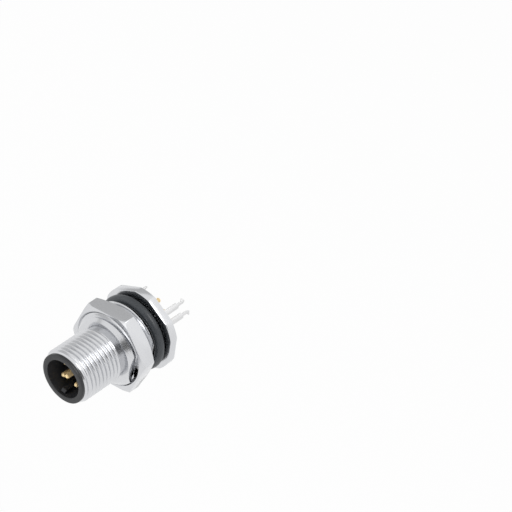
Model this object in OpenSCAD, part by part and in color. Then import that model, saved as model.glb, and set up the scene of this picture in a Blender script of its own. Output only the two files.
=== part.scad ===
// Panel-mount circular connector with a male plug end, in millimetres.
// The axis of the connector runs along Y. The plug end faces -Y and +Z is up.
// The origin is on the axis, in the flange's sealing face. Each revolved piece is
// drawn with its axis upright, height being the reach ahead of the sealing face,
// and facing() then lays it down so that height runs towards the plug end.

/* [Plug end] */
// Outside diameter of the fine coupling thread
plug_thread_d = 11.9; // [11.7:0.05:12]
// From the sealing face to the front of the plastic rim
front_reach = 21.1; // [19:0.1:24]
// Bore of the plug cavity
cavity_d = 8.4; // [8.2:0.1:8.8]
// Depth of the plug cavity
cavity_depth = 9; // [8:0.5:10]
// How far the plastic rim stands ahead of the metal shell
rim_proud = 0.65; // [0.3:0.05:1]
// Outside diameter of the plastic rim
rim_d = 10.8; // [10.4:0.1:11]

/* [Panel thread] */
// Outside diameter of the mounting thread
panel_thread_d = 15.9; // [15.6:0.05:15.95]
// Length of the mounting thread
panel_thread_length = 6.7; // [5:0.1:8]
// From the axis to the flat that keeps the shell from turning
flat_distance = 7; // [6.8:0.1:7.5]
// Width of the seal's neck between thread and flange
neck_length = 3.2; // [2.6:0.1:3.6]
// Diameter of that neck
neck_d = 12.6; // [12.4:0.1:13.2]

/* [Flange] */
// Flange across its flats
flange_af = 17.3; // [17:0.1:18]
// Diameter that its corners are turned to
flange_d = 18.3; // [18:0.1:19.5]
// Flange thickness
flange_t = 1.85; // [1.6:0.05:2.5]
// How far the flange's flats are turned from the shell's flat
flange_turn = 4; // [0:1:30]

/* [Nut] */
// Nut across its flats
nut_af = 17.3; // [17:0.1:19]
// Nut thickness
nut_t = 3.4; // [2.5:0.1:4]
// From the sealing face to the back of the nut
nut_reach = 5.1; // [3.5:0.1:6]
// How far the nut's flats are turned from the shell's flat
nut_turn = -15; // [-30:1:30]
// Gap all round between the nut's bore and the thread
nut_clearance = 0.07; // [0.03:0.01:0.1]
// Countersink at both ends of the nut's bore
nut_countersink = 0.25; // [0.1:0.05:0.4]

/* [Seals] */
// Thickness of the panel seal's ring
seal_section = 2; // [1.5:0.1:2.2]
// From the sealing face to the middle of the panel seal
seal_middle = 1.5; // [1:0.1:2]
// Thickness of the inner seal's ring
inner_seal_section = 1; // [0.8:0.1:1.2]

/* [Contacts] */
// Diameter of a contact pin
contact_d = 1; // [0.8:0.05:1.1]
// Circle that the outer contacts stand on
contact_circle_d = 5; // [4.5:0.1:5.5]
// How far the outer tips stay behind the rim
outer_tip_recess = 1.9; // [1:0.1:3]
// How far the leading centre tip stays behind the rim
centre_tip_recess = 0.9; // [0.5:0.1:3]
// How far the contacts' tails stand behind the sealing face
tail_reach = 7.9; // [6:0.1:10]

/* [Shield legs] */
// Thickness of the shield ring's sheet
sheet_t = 0.35; // [0.25:0.05:0.5]
// From the axis to the middle of each leg's sheet
leg_distance = 6.2; // [6:0.1:6.5]
// How far the legs' points stand behind the sealing face
leg_reach = 8.8; // [7:0.1:11]
// Half of the gap between the two legs of the pair
pair_half_gap = 0.5; // [0.4:0.1:1]

/* [Hidden] */
$fn = 96;
over = 1;                                   // how far a cutter runs past a face
fit = 0.02;                                 // gap all round a piece that is slid into another

// Shell, as heights ahead of the sealing face
shell_front = front_reach - rim_proud;
panel_thread_front = neck_length + panel_thread_length;
relief_length = 0.8;                        // plain groove between the two threads
relief_d = 10.8;
plug_thread_back = panel_thread_front + relief_length;
thread_chamfer = 1.1;
runout_chamfer = 0.3;
lip_chamfer = 0.6;
lip_chamfer_length = 0.85;
front_bore_d = 9.9;
back_bore_d = 11.4;
back_bore_depth = 2;                        // ahead of the sealing face
recess_d = 14.8;                            // seat of the shield ring and the holder
recess_floor = -0.35;

// Insert
cavity_floor = front_reach - cavity_depth;
insert_back = back_bore_depth - 1;
key_depth = 0.7;                            // how far the key stands into the cavity
key_w = 1.1;
key_setback = 0.6;                          // behind the rim
key_nose = 0.5;                             // slope at the key's front
seal_step = 7.2;                            // the inner seal sits against this step
potting_front = 5.8;                        // and the compound cast behind it stops here

// Contacts have a thicker body where the plastic grips them, from the floor to the holder
body_d = 1.4;
holder_boss_reach = 4;                      // behind the sealing face

// Contacts: four round the key at 45 degrees and its neighbours, then the centre one
outer_angles = [-135, -45, 45, 135];
tip_round = 0.35;
tail_chamfer = 0.2;

// Rear holder and shield ring
holder_boss_d = 8.8;
ring_back = recess_floor - sheet_t;
holder_back = -flange_t;
leg_w = 1.2;
leg_waist = 0.55;
leg_waist_start = leg_reach - 1.9;
slot_gap = 0.05;
// Where each leg stands: direction of its sheet's face, and side of that direction
leg_places = [[45, 1], [45, -1], [165, 0], [-75, 0]];

// Lays a piece drawn upright down along the connector's axis
module facing() rotate([90, 0, 0]) children();

// Hexagonal prism across flats af, from height low to height high
module hex_prism(af, low, high)
    translate([0, 0, low]) linear_extrude(high - low) rotate(30) circle(r = af / sqrt(3), $fn = 6);

// Ring of round section lying on the inner diameter inner_d, centred on height middle
module ring_seal(inner_d, section, middle)
    translate([0, 0, middle]) rotate_extrude() translate([(inner_d + section) / 2, 0]) circle(d = section, $fn = 48);

// Turned body of the shell with both threads at their outside diameters
module shell_turning() {
    front_r = front_bore_d / 2;
    thread_r = panel_thread_d / 2;
    plug_r = plug_thread_d / 2;
    rotate_extrude() polygon([
        [front_r, shell_front],
        [plug_r - lip_chamfer, shell_front],
        [plug_r, shell_front - lip_chamfer_length],
        [plug_r, plug_thread_back],
        [relief_d / 2, plug_thread_back],
        [relief_d / 2, panel_thread_front],
        [thread_r - thread_chamfer, panel_thread_front],
        [thread_r, panel_thread_front - thread_chamfer],
        [thread_r, neck_length + runout_chamfer],
        [thread_r - runout_chamfer, neck_length],
        [neck_d / 2, neck_length],
        [neck_d / 2, -over / 4],
        [recess_d / 2 + over / 4, -over / 4],
        [recess_d / 2 + over / 4, -flange_t],
        [recess_d / 2, -flange_t],
        [recess_d / 2, recess_floor],
        [back_bore_d / 2, recess_floor],
        [back_bore_d / 2, back_bore_depth],
        [front_r, back_bore_depth]
    ]);
}

// Hexagonal flange with its corners turned round and eased at both faces
module flange() {
    r = flange_d / 2;
    ease = 0.3;
    difference() {
        intersection() {
            rotate(flange_turn) hex_prism(flange_af, -flange_t, 0);
            rotate_extrude() polygon([
                [0, -flange_t], [r - ease, -flange_t], [r, ease - flange_t],
                [r, -ease], [r - ease, 0], [0, 0]
            ]);
        }
        translate([0, 0, recess_floor - over - flange_t]) cylinder(d = recess_d, h = over + flange_t);
        translate([0, 0, -over - flange_t]) cylinder(d = back_bore_d, h = 2 * over + flange_t);
    }
}

// Metal shell: plug tube, mounting thread with its flat, seal neck and flange in one piece
module shell() color("gainsboro") facing() difference() {
    union() {
        shell_turning();
        flange();
    }
    translate([flat_distance, -panel_thread_d / 2, neck_length])
        cube([panel_thread_d, panel_thread_d, panel_thread_length]);
}

// Hexagon nut with lightly eased front corners and a deeper rear chamfer
module hex_nut() color("lightgray") facing() translate([0, 0, nut_reach]) {
    corner_r = nut_af / sqrt(3);
    front_face_r = 9.3;
    back_face_r = 8.7;
    slope = tan(30);
    bore_r = panel_thread_d / 2 + nut_clearance;
    difference() {
        intersection() {
            rotate(nut_turn) hex_prism(nut_af, 0, nut_t);
            rotate_extrude() polygon([
                [0, 0], [back_face_r, 0], [corner_r, (corner_r - back_face_r) * slope],
                [corner_r, nut_t - (corner_r - front_face_r) * slope], [front_face_r, nut_t], [0, nut_t]
            ]);
        }
        rotate_extrude() polygon([
            [0, -over], [bore_r + nut_countersink + over, -over], [bore_r, nut_countersink],
            [bore_r, nut_t - nut_countersink], [bore_r + nut_countersink + over, nut_t + over], [0, nut_t + over]
        ]);
    }
}

// Sealing ring that the flange presses on the panel
module panel_seal() color("dimgray") facing()
    ring_seal(neck_d, seal_section, seal_middle);

// Holes for the bodies of all five contacts
module contact_bores(low, high) {
    for (a = outer_angles) rotate(a) translate([contact_circle_d / 2, 0, low]) cylinder(d = body_d, h = high - low);
    translate([0, 0, low]) cylinder(d = body_d, h = high - low);
}

// Plastic insert: rim, cavity wall with its key, and the block that carries the contacts
module contact_insert() color("#2c2d30") facing() {
    outer_r = front_bore_d / 2 - fit;
    cavity_r = cavity_d / 2;
    rim_r = rim_d / 2;
    rim_ease = 0.1;
    seat_r = front_bore_d / 2 - inner_seal_section;
    difference() {
        union() {
            rotate_extrude() polygon([
                [0, insert_back], [seat_r, insert_back], [seat_r, seal_step], [outer_r, seal_step],
                [outer_r, shell_front], [rim_r, shell_front],
                [rim_r, front_reach - rim_ease], [rim_r - rim_ease, front_reach],
                [cavity_r + rim_ease, front_reach], [cavity_r, front_reach - rim_ease],
                [cavity_r, cavity_floor], [0, cavity_floor]
            ]);
            insert_key();
        }
        contact_bores(insert_back - over, cavity_floor + over);
    }
}

// Key on the lower wall of the cavity, with a sloped nose
module insert_key() {
    cavity_r = cavity_d / 2;
    key_front = front_reach - key_setback;
    root = cavity_r + 0.1;
    rotate([0, 0, -90]) rotate([90, 0, 0]) translate([0, 0, -key_w / 2]) linear_extrude(key_w) polygon([
        [cavity_r - key_depth, cavity_floor - 0.1], [root, cavity_floor - 0.1],
        [root, key_front], [cavity_r - key_depth + key_nose, key_front],
        [cavity_r - key_depth, key_front - key_nose]
    ]);
}

// Sealing ring between the insert and the shell's bore
module insert_seal() color("#1c1c1e") facing()
    ring_seal(front_bore_d - 2 * inner_seal_section, inner_seal_section, (potting_front + seal_step) / 2);

// Turned contact pin with a rounded tip, a thicker body and a chamfered tail
module contact(tip_recess) {
    r = contact_d / 2;
    tip = front_reach - tip_recess;
    rotate_extrude($fn = 48) polygon(concat(
        [[0, -tail_reach], [r - tail_chamfer, -tail_reach], [r, tail_chamfer - tail_reach],
         [r, -holder_boss_reach], [body_d / 2, -holder_boss_reach], [body_d / 2, cavity_floor], [r, cavity_floor]],
        [for (a = [0 : 15 : 90]) [r - tip_round + tip_round * cos(a), tip - tip_round + tip_round * sin(a)]],
        [[0, tip]]
    ));
}

// One of the outer contacts, counted round from the one left of the key
module outer_contact(i) color("#d9a441") facing()
    rotate(outer_angles[i]) translate([contact_circle_d / 2, 0, 0]) contact(outer_tip_recess);

module contact_1() outer_contact(0);
module contact_2() outer_contact(1);
module contact_3() outer_contact(2);
module contact_4() outer_contact(3);
// Centre contact, which leads the others
module contact_5() color("#d9a441") facing() contact(centre_tip_recess);

// Cast sealing compound: a plug behind the insert and a sleeve round it, up to the inner seal
module potting() color("#202124") facing() difference() {
    seat_r = front_bore_d / 2 - inner_seal_section;
    rotate_extrude() polygon([
        [0, recess_floor], [back_bore_d / 2, recess_floor], [back_bore_d / 2, back_bore_depth],
        [front_bore_d / 2, back_bore_depth], [front_bore_d / 2, potting_front], [seat_r, potting_front],
        [seat_r, insert_back], [0, insert_back]
    ]);
    contact_bores(recess_floor - over, insert_back + over);
}

// Sheet outline of one leg: wide root, waist, and a point with one barb
// It is drawn with x across the leg and y towards the tail end.
module leg_outline(barb_side) {
    half = leg_w / 2;
    waist = leg_waist / 2;
    barb = 0.45;
    mirror([barb_side < 0 ? 1 : 0, 0]) polygon([
        [-half, -ring_back - sheet_t / 2], [half, -ring_back - sheet_t / 2],
        [half, leg_waist_start - 0.3], [waist, leg_waist_start],
        [waist, leg_reach - 0.85], [waist + barb, leg_reach - 0.45],
        [0, leg_reach], [-waist, leg_reach - 0.6],
        [-waist, leg_waist_start], [-half, leg_waist_start - 0.3]
    ]);
}

// Puts a sheet outline where leg number i stands, with the sheet facing outwards
module at_leg(i, thickness) {
    side = leg_places[i][1];
    rotate(leg_places[i][0]) translate([leg_distance - thickness / 2, side * (pair_half_gap + leg_w / 2), 0])
        rotate([90, 0, 90]) mirror([0, 1]) linear_extrude(thickness) children();
}

// Stamped shield ring: a flat washer with legs bent up to the tail side
module shield_ring() color("silver") facing() {
    ring_r = recess_d / 2 - 2 * fit;
    difference() {
        translate([0, 0, ring_back]) cylinder(r = ring_r, h = sheet_t);
        translate([0, 0, ring_back - over]) cylinder(r = back_bore_d / 2, h = sheet_t + 2 * over);
    }
    for (i = [0 : len(leg_places) - 1]) at_leg(i, sheet_t) leg_outline(leg_places[i][1]);
}

// Plastic holder that closes the back, guides the tails and clamps the shield ring
module contact_holder() color("#26272a") facing() difference() {
    union() {
        translate([0, 0, holder_back]) cylinder(r = recess_d / 2 - 2 * fit, h = ring_back - holder_back);
        translate([0, 0, -holder_boss_reach]) cylinder(d = holder_boss_d, h = holder_boss_reach + recess_floor);
    }
    contact_bores(-holder_boss_reach - over, over);
    for (i = [0 : len(leg_places) - 1]) at_leg(i, sheet_t + 2 * slot_gap)
        translate([-leg_w / 2 - slot_gap, 0]) square([leg_w + 2 * slot_gap, leg_reach]);
}

shell();
hex_nut();
panel_seal();
contact_insert();
insert_seal();
contact_1();
contact_2();
contact_3();
contact_4();
contact_5();
potting();
contact_holder();
shield_ring();
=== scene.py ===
"""Dresses the panel-mount circular connector: metal, plastic, rubber and contacts.

The axis of the connector is Y, the plug end faces -Y, +Z is up, and the origin is in the
flange's sealing face. Every piece is first made standing upright in millimetres, its height
being the reach ahead of the sealing face, and is then laid down along the axis in metres.
"""
import logging
import math
from dataclasses import dataclass, field
from enum import Enum
from typing import Callable, Iterable, Sequence

import bmesh
import bpy
from mathutils import Matrix, Vector


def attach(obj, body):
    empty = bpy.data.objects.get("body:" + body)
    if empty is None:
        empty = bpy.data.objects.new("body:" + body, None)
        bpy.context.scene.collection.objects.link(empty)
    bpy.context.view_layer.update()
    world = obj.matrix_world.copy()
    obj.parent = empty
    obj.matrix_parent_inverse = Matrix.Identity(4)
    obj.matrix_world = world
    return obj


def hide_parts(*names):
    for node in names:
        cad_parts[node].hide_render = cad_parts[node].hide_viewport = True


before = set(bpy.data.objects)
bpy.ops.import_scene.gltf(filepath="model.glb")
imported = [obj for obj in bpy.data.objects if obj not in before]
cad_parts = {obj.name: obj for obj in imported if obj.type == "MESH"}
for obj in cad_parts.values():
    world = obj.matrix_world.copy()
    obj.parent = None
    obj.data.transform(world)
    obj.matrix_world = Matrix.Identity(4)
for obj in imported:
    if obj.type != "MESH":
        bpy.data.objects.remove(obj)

LOG = logging.getLogger("connector")
MM = 0.001
TURNED_STEPS = 144
Profile = Sequence[tuple[float, float]]


class Body(Enum):
    """The bodies that the pieces ride on."""

    CONNECTOR = "connector"
    NUT = "nut"


class Cut(Enum):
    """How one solid is combined with another."""

    JOIN = "UNION"
    REMOVE = "DIFFERENCE"
    KEEP_COMMON = "INTERSECT"


# ---------------------------------------------------------------- modelling helpers


def eased(profile: Profile, ease: float) -> list[tuple[float, float]]:
    """Rounds every corner of a closed profile a little.

    Args:
        profile: Corners as (radius, height) in millimetres.
        ease: How far back from a corner its rounding starts.

    Returns:
        The profile with three points in place of each corner off the axis.
    """
    rounded: list[tuple[float, float]] = []
    corners = [Vector(p) for p in profile]
    for i, corner in enumerate(corners):
        before, after = corners[i - 1], corners[(i + 1) % len(corners)]
        if corner.x < 1e-6:
            rounded.append(tuple(corner))
            continue
        start = corner + (before - corner) * min(0.4, ease / (before - corner).length)
        end = corner + (after - corner) * min(0.4, ease / (after - corner).length)
        middle = (start + end) * 0.25 + corner * 0.5
        rounded += [tuple(start), tuple(middle), tuple(end)]
    return rounded


def turned(profile: Profile, steps: int = TURNED_STEPS) -> bmesh.types.BMesh:
    """Turns a closed profile into a solid about the upright axis.

    Args:
        profile: Corners as (radius, height) in millimetres, in order.
        steps: How many steps make the full turn.

    Returns:
        The closed solid.
    """
    bm = bmesh.new()
    ring = [bm.verts.new((radius, 0.0, height)) for radius, height in profile]
    pairs = list(zip(ring, ring[1:] + ring[:1]))
    edges = [bm.edges.new(pair) for pair in pairs if max(pair[0].co.x, pair[1].co.x) > 1e-6]
    bmesh.ops.spin(bm, geom=ring + edges, cent=(0, 0, 0), axis=(0, 0, 1), angle=math.tau,
                   steps=steps, use_merge=True, use_duplicate=False)
    bmesh.ops.remove_doubles(bm, verts=bm.verts, dist=1e-4)
    bmesh.ops.recalc_face_normals(bm, faces=bm.faces)
    return bm


def hexagon(across_flats: float, low: float, high: float, turn: float,
            corner_ease: float = 0.08) -> bmesh.types.BMesh:
    """Makes an upright hexagonal bar with very slightly rounded corners.

    Args:
        across_flats: Distance between opposite flats.
        low: Height of its lower face.
        high: Height of its upper face.
        turn: Direction of one flat, in degrees.
        corner_ease: Width of the rounding on its six upright edges.

    Returns:
        The closed solid.
    """
    bm = bmesh.new()
    bmesh.ops.create_circle(bm, cap_ends=True, segments=6, radius=across_flats / math.sqrt(3))
    top = bmesh.ops.extrude_face_region(bm, geom=bm.faces[:])["geom"]
    moved = [v for v in top if isinstance(v, bmesh.types.BMVert)]
    bmesh.ops.translate(bm, verts=moved, vec=(0, 0, high - low))
    upright = [e for e in bm.edges if abs(e.verts[0].co.z - e.verts[1].co.z) > 1e-6]
    bmesh.ops.bevel(bm, geom=upright, offset=corner_ease, offset_type="OFFSET", segments=3,
                    profile=0.5, affect="EDGES", material=-1)
    bmesh.ops.translate(bm, verts=bm.verts, vec=(0, 0, low))
    corner = math.atan2(*max((v.co.to_2d() for v in bm.verts), key=lambda p: p.x).yx)
    bmesh.ops.rotate(bm, verts=bm.verts, cent=(0, 0, 0),
                     matrix=Matrix.Rotation(math.radians(turn + 30) - round(corner, 1), 3, "Z"))
    bmesh.ops.recalc_face_normals(bm, faces=bm.faces)
    return bm


@dataclass(frozen=True)
class Thread:
    """A right-handed screw thread, seen as the rod that carries it."""

    major_d: float
    pitch: float
    low: float
    high: float
    depth: float
    phase: float = 0.0
    crest: float = 0.26
    root: float = 0.08
    steps: int = 96

    def ridge(self) -> list[tuple[float, float]]:
        """Gives one pitch of the thread's outline, from root to root.

        Returns:
            Points as (radius, height above the start of the pitch).
        """
        top, bottom = self.major_d / 2, self.major_d / 2 - self.depth
        half_root, half_crest = self.root / 2, self.crest / 2
        rising = [
            (0.0, 0.0), (half_root * 0.6, 0.01), (half_root, 0.06), (half_root * 1.3, 0.14),
            (0.5 - half_crest * 1.35, 0.93), (0.5 - half_crest, 0.985), (0.5 - half_crest * 0.6, 1.0),
        ]
        along = rising + [(1 - part, rise) for part, rise in reversed(rising)]
        return [(bottom + (top - bottom) * rise, part * self.pitch) for part, rise in along]

    def rod(self, limit: Callable[[float], float], stops: Sequence[float] = ()) -> bmesh.types.BMesh:
        """Makes the threaded rod as a closed solid.

        Args:
            limit: Gives the largest radius allowed at a height, for chamfers.
            stops: Heights at which that limit changes its slope.

        Returns:
            The rod, flat at both ends.
        """
        bm = bmesh.new()
        turns = math.ceil((self.high - self.low) / self.pitch) + 3
        start = self.low + (self.phase - 1.5) * self.pitch
        line = [bm.verts.new((radius, 0.0, start + rise)) for radius, rise in self.ridge()]
        edges = [bm.edges.new(pair) for pair in zip(line, line[1:])]
        bmesh.ops.spin(bm, geom=line + edges, cent=(0, 0, 0), axis=(0, 0, 1),
                       dvec=(0, 0, self.pitch / self.steps), angle=math.tau * turns,
                       steps=self.steps * turns, use_duplicate=False)
        bmesh.ops.remove_doubles(bm, verts=bm.verts, dist=1e-3)
        for height, keep_above in [(self.low, True), (self.high, False)]:
            bmesh.ops.bisect_plane(bm, geom=bm.verts[:] + bm.edges[:] + bm.faces[:], dist=1e-5,
                                   plane_co=(0, 0, height), plane_no=(0, 0, 1),
                                   clear_inner=keep_above, clear_outer=not keep_above)
        for height in stops:
            bmesh.ops.bisect_plane(bm, geom=bm.verts[:] + bm.edges[:] + bm.faces[:], dist=1e-5,
                                   plane_co=(0, 0, height), plane_no=(0, 0, 1))
        for vert in bm.verts:
            radius, largest = vert.co.to_2d().length, limit(vert.co.z)
            if radius > largest:
                vert.co.x *= largest / radius
                vert.co.y *= largest / radius
        bmesh.ops.remove_doubles(bm, verts=bm.verts, dist=1e-4)
        bmesh.ops.holes_fill(bm, edges=[e for e in bm.edges if e.is_boundary], sides=0)
        bmesh.ops.recalc_face_normals(bm, faces=bm.faces)
        return bm


def as_object(bm: bmesh.types.BMesh, name: str) -> bpy.types.Object:
    """Puts a bmesh in the scene as an object and frees it."""
    mesh = bpy.data.meshes.new(name)
    bm.to_mesh(mesh)
    bm.free()
    piece = bpy.data.objects.new(name, mesh)
    bpy.context.scene.collection.objects.link(piece)
    return piece


def combined(bm: bmesh.types.BMesh, how: Cut, tools: Iterable[bmesh.types.BMesh]) -> bmesh.types.BMesh:
    """Combines a solid with others, one after another.

    Args:
        bm: The solid to start from, which is freed.
        how: Whether each tool is joined, removed or intersected.
        tools: The other solids, which are freed.

    Returns:
        The resulting solid.
    """
    work = as_object(bm, "work")
    cutters = [as_object(tool, "tool") for tool in tools]
    for cutter in cutters:
        step = work.modifiers.new("step", "BOOLEAN")
        step.operation, step.solver, step.object = how.value, "EXACT", cutter
    bpy.context.view_layer.update()
    made = bpy.data.meshes.new_from_object(work.evaluated_get(bpy.context.evaluated_depsgraph_get()))
    result = bmesh.new()
    result.from_mesh(made)
    bmesh.ops.remove_doubles(result, verts=result.verts, dist=1e-5)
    for spent in [work, *cutters]:
        mesh = spent.data
        bpy.data.objects.remove(spent)
        bpy.data.meshes.remove(mesh)
    bpy.data.meshes.remove(made)
    return result


def soften_edges(bm: bmesh.types.BMesh, width: float, sharper_than: float = 20.0) -> None:
    """Bevels the sharp edges of a solid in place.

    Args:
        bm: The solid.
        width: Width of the bevel in millimetres.
        sharper_than: Smallest angle between faces, in degrees, that is bevelled.
    """
    bmesh.ops.dissolve_limit(bm, angle_limit=math.radians(0.5), verts=bm.verts, edges=bm.edges)
    sharp = [e for e in bm.edges
             if e.is_manifold and e.calc_face_angle(0.0) > math.radians(sharper_than)]
    bmesh.ops.bevel(bm, geom=sharp, offset=width, offset_type="OFFSET", segments=2, profile=0.5,
                    affect="EDGES", clamp_overlap=True, material=-1)


def laid_down(bm: bmesh.types.BMesh, name: str, smooth_below: float = 35.0) -> bpy.types.Object:
    """Lays an upright solid down along the connector's axis and makes it a piece.

    Args:
        bm: The upright solid in millimetres, which is freed.
        name: The piece's name.
        smooth_below: Angle between faces, in degrees, up to which they shade as one.

    Returns:
        The piece, with its object at the origin.
    """
    place = Matrix.Scale(MM, 4) @ Matrix.Rotation(math.radians(90), 4, "X")
    bmesh.ops.transform(bm, verts=bm.verts, matrix=place)
    for face in bm.faces:
        face.smooth = True
    for edge in bm.edges:
        edge.smooth = edge.calc_face_angle(math.pi) < math.radians(smooth_below)
    return as_object(bm, name)


# ---------------------------------------------------------------- finishes


def linear(colour: str) -> tuple[float, float, float, float]:
    """Turns an sRGB hex colour into linear values with full alpha."""
    parts = [int(colour[i:i + 2], 16) / 255 for i in (1, 3, 5)]
    return (*[p / 12.92 if p <= 0.04045 else ((p + 0.055) / 1.055) ** 2.4 for p in parts], 1.0)


def add_node(tree: bpy.types.NodeTree, kind: str, values: dict | None = None,
             links: dict | None = None, **settings: object) -> bpy.types.Node:
    """Adds one node with its settings and links.

    Args:
        tree: The node tree.
        kind: The node's type name.
        values: Input name or number to constant value.
        links: Input name or number to the output socket that feeds it.
        **settings: Attributes of the node itself.

    Returns:
        The new node.
    """
    node = tree.nodes.new(kind)
    for key, value in settings.items():
        setattr(node, key, value)
    for key, value in (values or {}).items():
        node.inputs[key].default_value = value
    for key, socket in (links or {}).items():
        tree.links.new(socket, node.inputs[key])
    return node


@dataclass(frozen=True)
class Finish:
    """A surface: two close colours that drift into each other, and a fine relief."""

    name: str
    colour: str
    shade: str
    metallic: float
    roughness: float
    roughness_drift: float
    drift_mm: float
    grain_mm: float
    grain_height_mm: float
    turned_marks: bool = False
    coat: float = 0.0
    sheen_level: float = 0.5

    def material(self) -> bpy.types.Material:
        """Builds the node material.

        Returns:
            The material, reading the piece's own Object coordinates.
        """
        made = bpy.data.materials.new(self.name)
        made.use_nodes = True
        tree = made.node_tree
        tree.nodes.clear()
        place = add_node(tree, "ShaderNodeTexCoord").outputs["Object"]
        drift = add_node(tree, "ShaderNodeTexNoise", {"Scale": 1 / (self.drift_mm * MM), "Detail": 3.0},
                         {"Vector": place})
        colour = add_node(tree, "ShaderNodeMix",
                          {6: linear(self.colour), 7: linear(self.shade)},
                          {0: drift.outputs["Fac"]}, data_type="RGBA")
        rough = add_node(tree, "ShaderNodeMapRange",
                         {"From Min": 0.3, "From Max": 0.7, "To Min": self.roughness,
                          "To Max": self.roughness + self.roughness_drift},
                         {"Value": drift.outputs["Fac"]})
        grain_place = self.around_axis(tree, place) if self.turned_marks else place
        grain = add_node(tree, "ShaderNodeTexNoise",
                         {"Scale": 1 / (self.grain_mm * MM), "Detail": 2.0}, {"Vector": grain_place})
        relief = add_node(tree, "ShaderNodeBump",
                          {"Strength": 1.0, "Distance": self.grain_height_mm * MM},
                          {"Height": grain.outputs["Fac"]})
        shader = add_node(tree, "ShaderNodeBsdfPrincipled",
                          {"Metallic": self.metallic, "Coat Weight": self.coat,
                           "Specular IOR Level": self.sheen_level},
                          {"Base Color": colour.outputs[2], "Roughness": rough.outputs["Result"],
                           "Normal": relief.outputs["Normal"]})
        add_node(tree, "ShaderNodeOutputMaterial", links={"Surface": shader.outputs["BSDF"]})
        return made

    def around_axis(self, tree: bpy.types.NodeTree, place: bpy.types.NodeSocket) -> bpy.types.NodeSocket:
        """Makes coordinates that are the same all round the axis, for turning marks.

        Args:
            tree: The node tree.
            place: The Object coordinates.

        Returns:
            A vector of the position along the axis and the distance from it.
        """
        parts = add_node(tree, "ShaderNodeSeparateXYZ", links={"Vector": place})
        flat = add_node(tree, "ShaderNodeCombineXYZ",
                        links={"X": parts.outputs["X"], "Y": parts.outputs["Z"]})
        radius = add_node(tree, "ShaderNodeVectorMath", links={0: flat.outputs["Vector"]},
                          operation="LENGTH")
        return add_node(tree, "ShaderNodeCombineXYZ",
                        links={"X": parts.outputs["Y"], "Y": radius.outputs["Value"]}).outputs["Vector"]


# Nickel plate on turned brass: pale grey, satin, with fine rings left by the lathe tool.
PLATED_NICKEL = Finish("nickel_plated_turned_brass", "#dadbdd", "#d0d1d4", 1.0, 0.17, 0.06, 6.0,
                       0.35, 0.01, turned_marks=True)
# Gold plate on a turned contact: warm, bright and almost mirror-smooth.
GOLD_PLATE = Finish("gold_plated_contact", "#ffe8ba", "#fddc9e", 0.4, 0.32, 0.06, 1.5,
                    0.08, 0.0015, turned_marks=True)
# Glass-filled polyamide, moulded: near black with a fine satin grain.
MOULDED_POLYAMIDE = Finish("moulded_black_polyamide", "#1d1e20", "#232427", 0.0, 0.38, 0.1, 3.0,
                           0.15, 0.006)
# Moulded nitrile rubber: dark grey with a soft sheen and a barely visible grain.
MOULDED_RUBBER = Finish("moulded_nitrile_rubber", "#33363a", "#3b3f43", 0.0, 0.34, 0.08, 2.5,
                        0.12, 0.005, sheen_level=0.5)
# Tin plate on stamped bronze sheet: white, soft metal with a slightly cloudy surface.
TIN_PLATE = Finish("tin_plated_stamped_bronze", "#dededf", "#d2d2d2", 1.0, 0.3, 0.12, 1.2,
                   0.1, 0.003)
# Cast epoxy resin: black and glossy, as it set.
CAST_RESIN = Finish("cast_epoxy_resin", "#161618", "#1a1a1c", 0.0, 0.2, 0.1, 4.0, 0.5, 0.004, coat=0.3)


class Workshop:
    """Keeps one material per finish and hands pieces over to the frame."""

    def __init__(self) -> None:
        """Starts with no materials made."""
        self.made: dict[str, bpy.types.Material] = {}

    def material(self, finish: Finish) -> bpy.types.Material:
        """Gives a finish's material, building it the first time."""
        if finish.name not in self.made:
            self.made[finish.name] = finish.material()
        return self.made[finish.name]

    def deliver(self, piece: bpy.types.Object, finish: Finish, body: Body, node: str) -> None:
        """Dresses a piece, lets it ride on its body and lets it stand for its solid.

        Args:
            piece: The finished piece.
            finish: Its surface.
            body: The body that it moves with.
            node: The solid that it stands for.
        """
        piece.data.materials.append(self.material(finish))
        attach(piece, body.value)
        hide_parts(node)
        LOG.info("%s: %d faces", piece.name, len(piece.data.polygons))

    def dress_node(self, node: str, finish: Finish) -> None:
        """Gives a solid that is kept as it is its finish.

        Args:
            node: The solid's name.
            finish: Its surface.
        """
        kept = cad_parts[node]
        kept.data.materials.clear()
        kept.data.materials.append(self.material(finish))
        LOG.info("%s: kept", node)


# ---------------------------------------------------------------- sub-assemblies


@dataclass
class PanelThread:
    """Sizes of the mounting thread that shell and nut share."""

    diameter: float = 15.9
    pitch: float = 1.5
    depth: float = 0.92
    rear: float = 3.2
    front: float = 9.9
    front_edge_r: float = 6.85
    rear_edge_r: float = 7.65
    phase: float = -0.1

    def limit(self, height: float) -> float:
        """Gives the chamfered rod's largest radius at a height."""
        return min(self.front_edge_r + self.front - height, self.rear_edge_r + height - self.rear,
                   self.diameter / 2)

    def stops(self) -> list[float]:
        """Gives the heights where the chamfers end."""
        radius = self.diameter / 2
        return [self.front - (radius - self.front_edge_r), self.rear + radius - self.rear_edge_r]

    def rod(self) -> bmesh.types.BMesh:
        """Makes the chamfered threaded rod."""
        thread = Thread(self.diameter, self.pitch, self.rear, self.front, self.depth, self.phase)
        return thread.rod(self.limit, self.stops())


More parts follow.
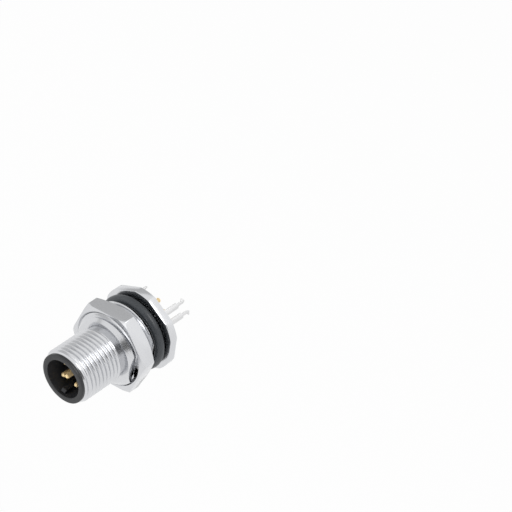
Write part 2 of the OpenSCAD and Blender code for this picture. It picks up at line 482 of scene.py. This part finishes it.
@dataclass
class Shell:
    """The metal shell: plug tube, mounting thread with its flat, seal neck and flange."""

    panel: PanelThread
    plug_thread_d: float = 11.9
    plug_pitch: float = 1.0
    plug_depth: float = 0.48
    plug_front: float = 20.45
    plug_back: float = 10.7
    lip_edge_r: float = 5.35
    lip_length: float = 0.85
    relief_r: float = 5.4
    neck_r: float = 6.3
    flange_t: float = 1.85
    flange_af: float = 17.3
    flange_r: float = 9.15
    flange_turn: float = 4.0
    flat_distance: float = 7.0
    front_bore_r: float = 4.95
    back_bore_r: float = 5.7
    back_bore_depth: float = 2.0
    recess_r: float = 7.4
    recess_floor: float = -0.35

    def plug_limit(self, height: float) -> float:
        """Gives the plug tube's largest radius at a height: chamfered lip, then thread."""
        radius = self.plug_thread_d / 2
        slope = (radius - self.lip_edge_r) / self.lip_length
        front = self.lip_edge_r + (self.plug_front - height) * slope
        return min(front, radius - 0.4 + (height - self.plug_back), radius)

    def plug_rod(self) -> bmesh.types.BMesh:
        """Makes the plug tube's threaded rod with its chamfered front."""
        thread = Thread(self.plug_thread_d, self.plug_pitch, self.plug_back, self.plug_front,
                        self.plug_depth, phase=0.5)
        return thread.rod(self.plug_limit, [self.plug_front - self.lip_length, self.plug_back + 0.4])

    def flange(self) -> bmesh.types.BMesh:
        """Makes the hexagonal flange with its corners turned round."""
        r, low = self.flange_r, -self.flange_t
        ease = 0.12
        bar = hexagon(self.flange_af, low - 1, 1, self.flange_turn, 0.02)
        disc = turned([(0, low), (r - ease, low), (r, low + ease), (r, -ease), (r - ease, 0), (0, 0)])
        made = combined(bar, Cut.KEEP_COMMON, [disc])
        soften_edges(made, 0.07)
        return made

    def flat_cutter(self) -> bmesh.types.BMesh:
        """Makes the block that cuts the flat on the mounting thread."""
        bm = bmesh.new()
        bmesh.ops.create_cube(bm, size=1.0)
        bmesh.ops.scale(bm, verts=bm.verts, vec=(4.0, 20.0, 12.0))
        middle = self.panel.rear + 6.0 - 0.03
        bmesh.ops.translate(bm, verts=bm.verts, vec=(self.flat_distance + 2.0, 0, middle))
        return bm

    def build(self, workshop: Workshop) -> None:
        """Makes the shell and hands it over."""
        core = turned([(0, self.flange_t * -0.5), (self.neck_r, self.flange_t * -0.5),
                       (self.neck_r, 5.0), (self.relief_r, 5.0), (self.relief_r, 19.0), (0, 19.0)])
        rod = combined(self.panel.rod(), Cut.REMOVE, [self.flat_cutter()])
        body = combined(core, Cut.JOIN, [rod, self.plug_rod(), self.flange()])
        bore = turned([(0, 30), (self.front_bore_r, 30), (self.front_bore_r, self.back_bore_depth),
                       (self.back_bore_r, self.back_bore_depth), (self.back_bore_r, self.recess_floor),
                       (self.recess_r, self.recess_floor), (self.recess_r, -10), (0, -10)])
        body = combined(body, Cut.REMOVE, [bore])
        piece = laid_down(body, "plated_shell")
        workshop.deliver(piece, PLATED_NICKEL, Body.CONNECTOR, "shell")


@dataclass
class HexNut:
    """The hexagon nut that clamps the panel."""

    panel: PanelThread
    across_flats: float = 17.3
    thickness: float = 3.4
    reach: float = 5.1
    turn: float = -15.0
    front_face_r: float = 9.3
    back_face_r: float = 8.7
    countersink_r: float = 8.27
    clearance: float = 0.07

    def build(self, workshop: Workshop) -> None:
        """Makes the nut and hands it over."""
        low, high = self.reach, self.reach + self.thickness
        corner_r, slope = self.across_flats / math.sqrt(3) + 0.2, math.tan(math.radians(30))
        outline = turned([
            (0, low), (self.back_face_r, low), (corner_r, low + (corner_r - self.back_face_r) * slope),
            (corner_r, high - (corner_r - self.front_face_r) * slope), (self.front_face_r, high), (0, high)])
        body = combined(hexagon(self.across_flats, low - 1, high + 1, self.turn), Cut.KEEP_COMMON, [outline])
        soften_edges(body, 0.08)
        thread = Thread(self.panel.diameter + 2 * self.clearance, self.panel.pitch,
                        self.panel.rear - 3, self.panel.front + 3, self.panel.depth - 0.1,
                        self.panel.phase)
        plain = thread.major_d / 2
        wide, narrow = self.countersink_r, plain - thread.depth
        sink = turned([(0, low - 1), (wide + 1, low - 1), (narrow, low + wide - narrow),
                       (narrow, high - wide + narrow), (wide + 1, high + 1), (0, high + 1)])
        body = combined(body, Cut.REMOVE, [thread.rod(lambda height: plain), sink])
        workshop.deliver(laid_down(body, "hexagon_nut"), PLATED_NICKEL, Body.NUT, "hex_nut")


@dataclass
class PanelSeal:
    """The rubber ring in the neck."""

    centre_r: float = 7.3
    section_r: float = 1.0
    middle: float = 1.5
    line_w: float = 0.06

    def build(self, workshop: Workshop) -> None:
        """Makes the ring and hands it over."""
        points = []
        for step in range(48):
            a = math.tau * step / 48
            points.append((self.centre_r + self.section_r * math.cos(a),
                           self.middle + self.section_r * math.sin(a)))
        piece = laid_down(turned(points), "rubber_panel_seal")
        workshop.deliver(piece, MOULDED_RUBBER, Body.CONNECTOR, "panel_seal")


@dataclass
class Contacts:
    """The five pins: four round the key and the leading one in the centre."""

    diameter: float = 1.0
    body_r: float = 0.69
    body_front: float = 12.1
    body_back: float = -4.0
    circle_d: float = 5.0
    front: float = 21.1
    outer_recess: float = 1.9
    centre_recess: float = 0.9
    tail: float = -7.9
    directions: tuple[float, ...] = (-135.0, -45.0, 45.0, 135.0)

    def places(self) -> list[tuple[float, float]]:
        """Gives every pin's position across the axis, the centre pin last."""
        r = self.circle_d / 2
        around = [(r * math.cos(math.radians(a)), r * math.sin(math.radians(a))) for a in self.directions]
        return [*around, (0.0, 0.0)]

    def pin(self, tip: float) -> bmesh.types.BMesh:
        """Makes one upright pin with a rounded tip, a thicker body and a chamfered tail."""
        r, nose = self.diameter / 2, 0.42
        profile = [(0, self.tail), (r - 0.2, self.tail), (r, self.tail + 0.2), (r, self.body_back),
                   (self.body_r, self.body_back), (self.body_r, self.body_front), (r, self.body_front),
                   (r, tip - nose)]
        for step in range(1, 6):
            a = math.radians(90 * step / 6)
            profile.append((r - nose + nose * math.cos(a), tip - nose + nose * math.sin(a)))
        return turned([*profile, (r - nose, tip), (0, tip)], 40)

    def build(self, workshop: Workshop) -> None:
        """Makes the five pins and hands them over."""
        for number, (x, y) in enumerate(self.places(), start=1):
            recess = self.centre_recess if number == 5 else self.outer_recess
            bm = self.pin(self.front - recess)
            bmesh.ops.translate(bm, verts=bm.verts, vec=(x, y, 0))
            piece = laid_down(bm, f"gold_contact_{number}")
            workshop.deliver(piece, GOLD_PLATE, Body.CONNECTOR, f"contact_{number}")


@dataclass
class Insert:
    """The moulded insert: rim, cavity wall with its key, and the block behind."""

    contacts: Contacts
    front: float = 21.1
    shell_front: float = 20.45
    rim_r: float = 5.4
    outer_r: float = 4.93
    cavity_r: float = 4.2
    cavity_floor: float = 12.1
    back: float = 1.0
    key_w: float = 1.1
    key_depth: float = 0.7
    key_setback: float = 0.6

    def key(self) -> bmesh.types.BMesh:
        """Makes the key on the cavity's lower wall, with a sloped nose."""
        bm = bmesh.new()
        bmesh.ops.create_cube(bm, size=1.0)
        length = self.front - self.key_setback - self.cavity_floor + 0.4
        bmesh.ops.scale(bm, verts=bm.verts, vec=(self.key_w, self.key_depth + 0.3, length))
        middle = (-(self.cavity_r - self.key_depth) - (self.key_depth + 0.3) / 2,
                  self.front - self.key_setback - length / 2)
        bmesh.ops.translate(bm, verts=bm.verts, vec=(0, middle[0], middle[1]))
        nose = [e for e in bm.edges if all(v.co.z > middle[1] and v.co.y > middle[0] for v in e.verts)]
        bmesh.ops.bevel(bm, geom=nose, offset=0.45, offset_type="OFFSET", segments=1, profile=0.5,
                        affect="EDGES", material=-1)
        soften_edges(bm, 0.06)
        return bm

    def build(self, workshop: Workshop) -> None:
        """Makes the insert and hands it over."""
        profile = [(0, self.back), (self.outer_r, self.back), (self.outer_r, self.shell_front),
                   (self.rim_r, self.shell_front), (self.rim_r, self.front),
                   (self.cavity_r, self.front), (self.cavity_r, self.cavity_floor), (0, self.cavity_floor)]
        body = combined(turned(eased(profile, 0.09)), Cut.JOIN, [self.key()])
        holes = []
        for x, y in self.contacts.places():
            hole = turned([(0, self.back - 1), (0.7, self.back - 1), (0.7, self.cavity_floor + 1),
                           (0, self.cavity_floor + 1)], 40)
            bmesh.ops.translate(hole, verts=hole.verts, vec=(x, y, 0))
            holes.append(hole)
        body = combined(body, Cut.REMOVE, holes)
        piece = laid_down(body, "keyed_insert")
        workshop.deliver(piece, MOULDED_POLYAMIDE, Body.CONNECTOR, "contact_insert")


@dataclass
class ShieldRing:
    """The stamped ring with its bent legs, and the holder that clamps it."""

    contacts: Contacts
    sheet_t: float = 0.35
    leg_distance: float = 6.2
    leg_w: float = 1.2
    waist: float = 0.6
    reach: float = 8.8
    pair_half_gap: float = 0.5
    recess_floor: float = -0.35
    recess_r: float = 7.36
    bore_r: float = 5.7
    holder_back: float = -1.85
    boss_r: float = 4.4
    boss_back: float = -4.0
    places: tuple[tuple[float, int], ...] = ((45.0, 1), (45.0, -1), (165.0, 0), (-75.0, 0))

    def outline(self) -> list[tuple[float, float]]:
        """Gives a leg's flat outline: across, and reach behind the sealing face."""
        half, waist, reach = self.leg_w / 2, self.waist / 2, self.reach
        return [(-half, 0.5), (half, 0.5), (half, reach - 2.2), (waist, reach - 1.9),
                (waist, reach - 0.85), (waist + 0.45, reach - 0.45), (0, reach),
                (-waist, reach - 0.6), (-waist, reach - 1.9), (-half, reach - 2.2)]

    def standing(self, bm: bmesh.types.BMesh, direction: float, side: int) -> bmesh.types.BMesh:
        """Moves a leg, drawn flat, to where it stands.

        Args:
            bm: The leg or its slot, with its sheet centred on zero height.
            direction: Where the sheet faces, in degrees.
            side: Which side of that direction the leg stands on, or 0.

        Returns:
            The same bmesh.
        """
        upright = Matrix(((0, 0, 1), (1, 0, 0), (0, -1, 0))).to_4x4()
        away = Matrix.Translation((self.leg_distance, side * (self.pair_half_gap + self.leg_w / 2), 0))
        turn = Matrix.Rotation(math.radians(direction), 4, "Z")
        bmesh.ops.transform(bm, verts=bm.verts, matrix=turn @ away @ upright)
        bmesh.ops.recalc_face_normals(bm, faces=bm.faces)
        return bm

    def sheet(self, outline: Profile, thickness: float, flip: bool) -> bmesh.types.BMesh:
        """Cuts a flat outline out of sheet.

        Args:
            outline: Corners of the outline.
            thickness: The sheet's thickness.
            flip: Whether the outline is mirrored.

        Returns:
            The sheet, centred on zero height.
        """
        bm = bmesh.new()
        corners = [bm.verts.new((-x if flip else x, y, -thickness / 2)) for x, y in outline]
        face = bm.faces.new(corners)
        top = bmesh.ops.extrude_face_region(bm, geom=[face])["geom"]
        bmesh.ops.translate(bm, verts=[v for v in top if isinstance(v, bmesh.types.BMVert)],
                            vec=(0, 0, thickness))
        bmesh.ops.recalc_face_normals(bm, faces=bm.faces)
        return bm

    def build(self, workshop: Workshop) -> None:
        """Makes the ring with its legs and the holder, and hands both over."""
        top, low = self.recess_floor, self.recess_floor - self.sheet_t
        washer = turned([(self.bore_r, low), (self.recess_r, low), (self.recess_r, top), (self.bore_r, top)])
        legs = []
        for direction, side in self.places:
            leg = self.sheet(self.outline(), self.sheet_t, side < 0)
            soften_edges(leg, 0.05)
            legs.append(self.standing(leg, direction, side))
        ring = combined(washer, Cut.JOIN, legs)
        workshop.deliver(laid_down(ring, "shield_ring_with_legs"), TIN_PLATE, Body.CONNECTOR,
                         "shield_ring")
        profile = [(0, self.boss_back), (self.boss_r, self.boss_back), (self.boss_r, self.holder_back),
                   (self.recess_r, self.holder_back), (self.recess_r, low), (self.boss_r, low),
                   (self.boss_r, top), (0, top)]
        slots = []
        gap = 0.06
        for direction, side in self.places:
            half = self.leg_w / 2 + gap
            blank = [(-half, -1.0), (half, -1.0), (half, self.reach), (-half, self.reach)]
            slots.append(self.standing(self.sheet(blank, self.sheet_t + 2 * gap, False), direction, side))
        for x, y in self.contacts.places():
            hole = turned([(0, self.boss_back - 1), (0.7, self.boss_back - 1), (0.7, 1), (0, 1)], 40)
            bmesh.ops.translate(hole, verts=hole.verts, vec=(x, y, 0))
            slots.append(hole)
        holder = combined(turned(eased(profile, 0.1)), Cut.REMOVE, slots)
        workshop.deliver(laid_down(holder, "rear_contact_holder"), MOULDED_POLYAMIDE, Body.CONNECTOR,
                         "contact_holder")


# ---------------------------------------------------------------- studio


@dataclass
class Studio:
    """Pale floor, soft light, two grey cards that the metal mirrors, and the camera."""

    floor_height: float = -0.06
    camera_station: tuple[float, float, float] = (0.20866, -0.28431, 0.36063)
    camera_aim: tuple[float, float, float] = (0.01085, 0.01967, 0.01644)
    camera_up: tuple[float, float, float] = (-0.548, 0.4452, 0.7082)
    lens_mm: float = 178.4
    world_light: float = 0.3
    lamps: list[tuple[str, tuple[float, float, float], float, float]] = field(default_factory=lambda: [
        ("top_lamp", (0.29, 0.11, 0.57), 0.38, 1.15),
        ("rear_lamp", (0.26, 0.4, 0.45), 0.8, 0.15),
        ("front_lamp", (0.03, -0.69, 0.08), 0.45, 0.2),
    ])
    side_lamps: list[tuple[str, tuple[float, float, float], float, float]] = field(default_factory=lambda: [
        ("left_side_lamp", (-0.5, -0.4, 0.27), 0.5, 3.0),
        ("right_side_lamp", (0.56, -0.42, -0.03), 0.5, 3.0),
    ])
    cards: list[tuple[str, tuple[float, float, float], float, float]] = field(default_factory=lambda: [
        ("grey_card_behind", (-0.343, 0.304, 0.199), 0.4, 0.58),
        ("dark_card_beside_camera", (0.377, -0.436, 0.286), 0.42, 0.12),
        ("grey_card_at_left", (-0.442, -0.475, 0.078), 0.37, 0.62),
    ])

    def backdrop_colour(self, tree: bpy.types.NodeTree) -> bpy.types.NodeSocket:
        """Says where the plain white background is seen, directly or in a reflection."""
        path = add_node(tree, "ShaderNodeLightPath")
        either = add_node(tree, "ShaderNodeMath", operation="MAXIMUM",
                          links={0: path.outputs["Is Camera Ray"], 1: path.outputs["Is Glossy Ray"]})
        return add_node(tree, "ShaderNodeMath", operation="MAXIMUM",
                        links={0: either.outputs[0], 1: path.outputs["Is Transmission Ray"]}).outputs[0]

    def floor(self) -> None:
        """Makes the pale floor, which keeps the object's shadow."""
        bm = bmesh.new()
        bmesh.ops.create_grid(bm, x_segments=1, y_segments=1, size=6.0)
        bmesh.ops.translate(bm, verts=bm.verts, vec=(0, 0, self.floor_height))
        floor = as_object(bm, "floor")
        pale = bpy.data.materials.new("pale_paper_floor")
        pale.use_nodes = True
        tree = pale.node_tree
        tree.nodes.clear()
        matte = add_node(tree, "ShaderNodeBsdfDiffuse", {"Color": linear("#fafafa")})
        white = add_node(tree, "ShaderNodeEmission", {"Color": (1, 1, 1, 1), "Strength": 1.0})
        share = add_node(tree, "ShaderNodeMath", {1: 0.95}, {0: self.backdrop_colour(tree)},
                         operation="MULTIPLY")
        both = add_node(tree, "ShaderNodeMixShader", links={0: share.outputs[0], 1: matte.outputs[0],
                                                            2: white.outputs[0]})
        add_node(tree, "ShaderNodeOutputMaterial", links={"Surface": both.outputs[0]})
        floor.data.materials.append(pale)

    def surroundings(self) -> None:
        """Sets the world: an even pale light, and white where it is looked at."""
        world = bpy.data.worlds.new("studio")
        bpy.context.scene.world = world
        world.use_nodes = True
        tree = world.node_tree
        tree.nodes.clear()
        light = add_node(tree, "ShaderNodeBackground",
                         {"Color": linear("#ffffff"), "Strength": self.world_light})
        seen = add_node(tree, "ShaderNodeBackground", {"Color": (1, 1, 1, 1), "Strength": 1.0})
        both = add_node(tree, "ShaderNodeMixShader", links={0: self.backdrop_colour(tree),
                                                            1: light.outputs[0], 2: seen.outputs[0]})
        add_node(tree, "ShaderNodeOutputWorld", links={"Surface": both.outputs[0]})

    def light(self) -> None:
        """Places the soft lamps; the two at the sides only reach matte light, not reflections."""
        middle = Vector((0, -0.007, 0))
        for name, where, size, power in self.lamps + self.side_lamps:
            data = bpy.data.lights.new(name, "AREA")
            data.shape, data.size, data.energy = "DISK", size, power
            lamp = bpy.data.objects.new(name, data)
            lamp.location = where
            lamp.rotation_euler = (middle - Vector(where)).to_track_quat("-Z", "Y").to_euler()
            lamp.visible_glossy = (name, where, size, power) in self.lamps
            bpy.context.scene.collection.objects.link(lamp)

    def hang_cards(self) -> None:
        """Hangs the grey cards, which only show where metal mirrors them."""
        middle = Vector((0, -0.007, 0))
        for name, where, size, tone in self.cards:
            bm = bmesh.new()
            bmesh.ops.create_grid(bm, x_segments=1, y_segments=1, size=size / 2)
            facing = (middle - Vector(where)).to_track_quat("Z", "Y").to_matrix().to_4x4()
            bmesh.ops.transform(bm, verts=bm.verts, matrix=Matrix.Translation(where) @ facing)
            card = as_object(bm, name)
            card.visible_camera = card.visible_diffuse = card.visible_shadow = False
            made = bpy.data.materials.new(name)
            made.use_nodes = True
            tree = made.node_tree
            tree.nodes.clear()
            glow = add_node(tree, "ShaderNodeEmission", {"Color": (tone, tone, tone, 1), "Strength": 1.0})
            add_node(tree, "ShaderNodeOutputMaterial", links={"Surface": glow.outputs[0]})
            card.data.materials.append(made)

    def camera(self) -> None:
        """Places the camera with a long lens."""
        data = bpy.data.cameras.new("camera")
        data.lens, data.sensor_width = self.lens_mm, 36.0
        data.clip_start, data.clip_end = 0.01, 20.0
        cam = bpy.data.objects.new("camera", data)
        back = (Vector(self.camera_station) - Vector(self.camera_aim)).normalized()
        right = Vector(self.camera_up).cross(back).normalized()
        turn = Matrix((right, back.cross(right), back)).transposed().to_4x4()
        cam.matrix_world = Matrix.Translation(self.camera_station) @ turn
        bpy.context.scene.collection.objects.link(cam)
        bpy.context.scene.camera = cam

    def build(self) -> None:
        """Sets up the whole studio."""
        bpy.context.scene.view_settings.view_transform = "Standard"
        self.camera()
        self.floor()
        self.surroundings()
        self.light()
        self.hang_cards()


def main() -> None:
    """Builds every sub-assembly in order and reports each piece."""
    logging.basicConfig(level=logging.INFO, format="%(name)s: %(message)s")
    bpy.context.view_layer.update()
    workshop = Workshop()
    panel = PanelThread()
    contacts = Contacts()
    Studio().build()
    Shell(panel).build(workshop)
    HexNut(panel).build(workshop)
    PanelSeal().build(workshop)
    Insert(contacts).build(workshop)
    contacts.build(workshop)
    ShieldRing(contacts).build(workshop)
    workshop.dress_node("insert_seal", MOULDED_RUBBER)
    workshop.dress_node("potting", CAST_RESIN)


if __name__ == "__main__":
    main()
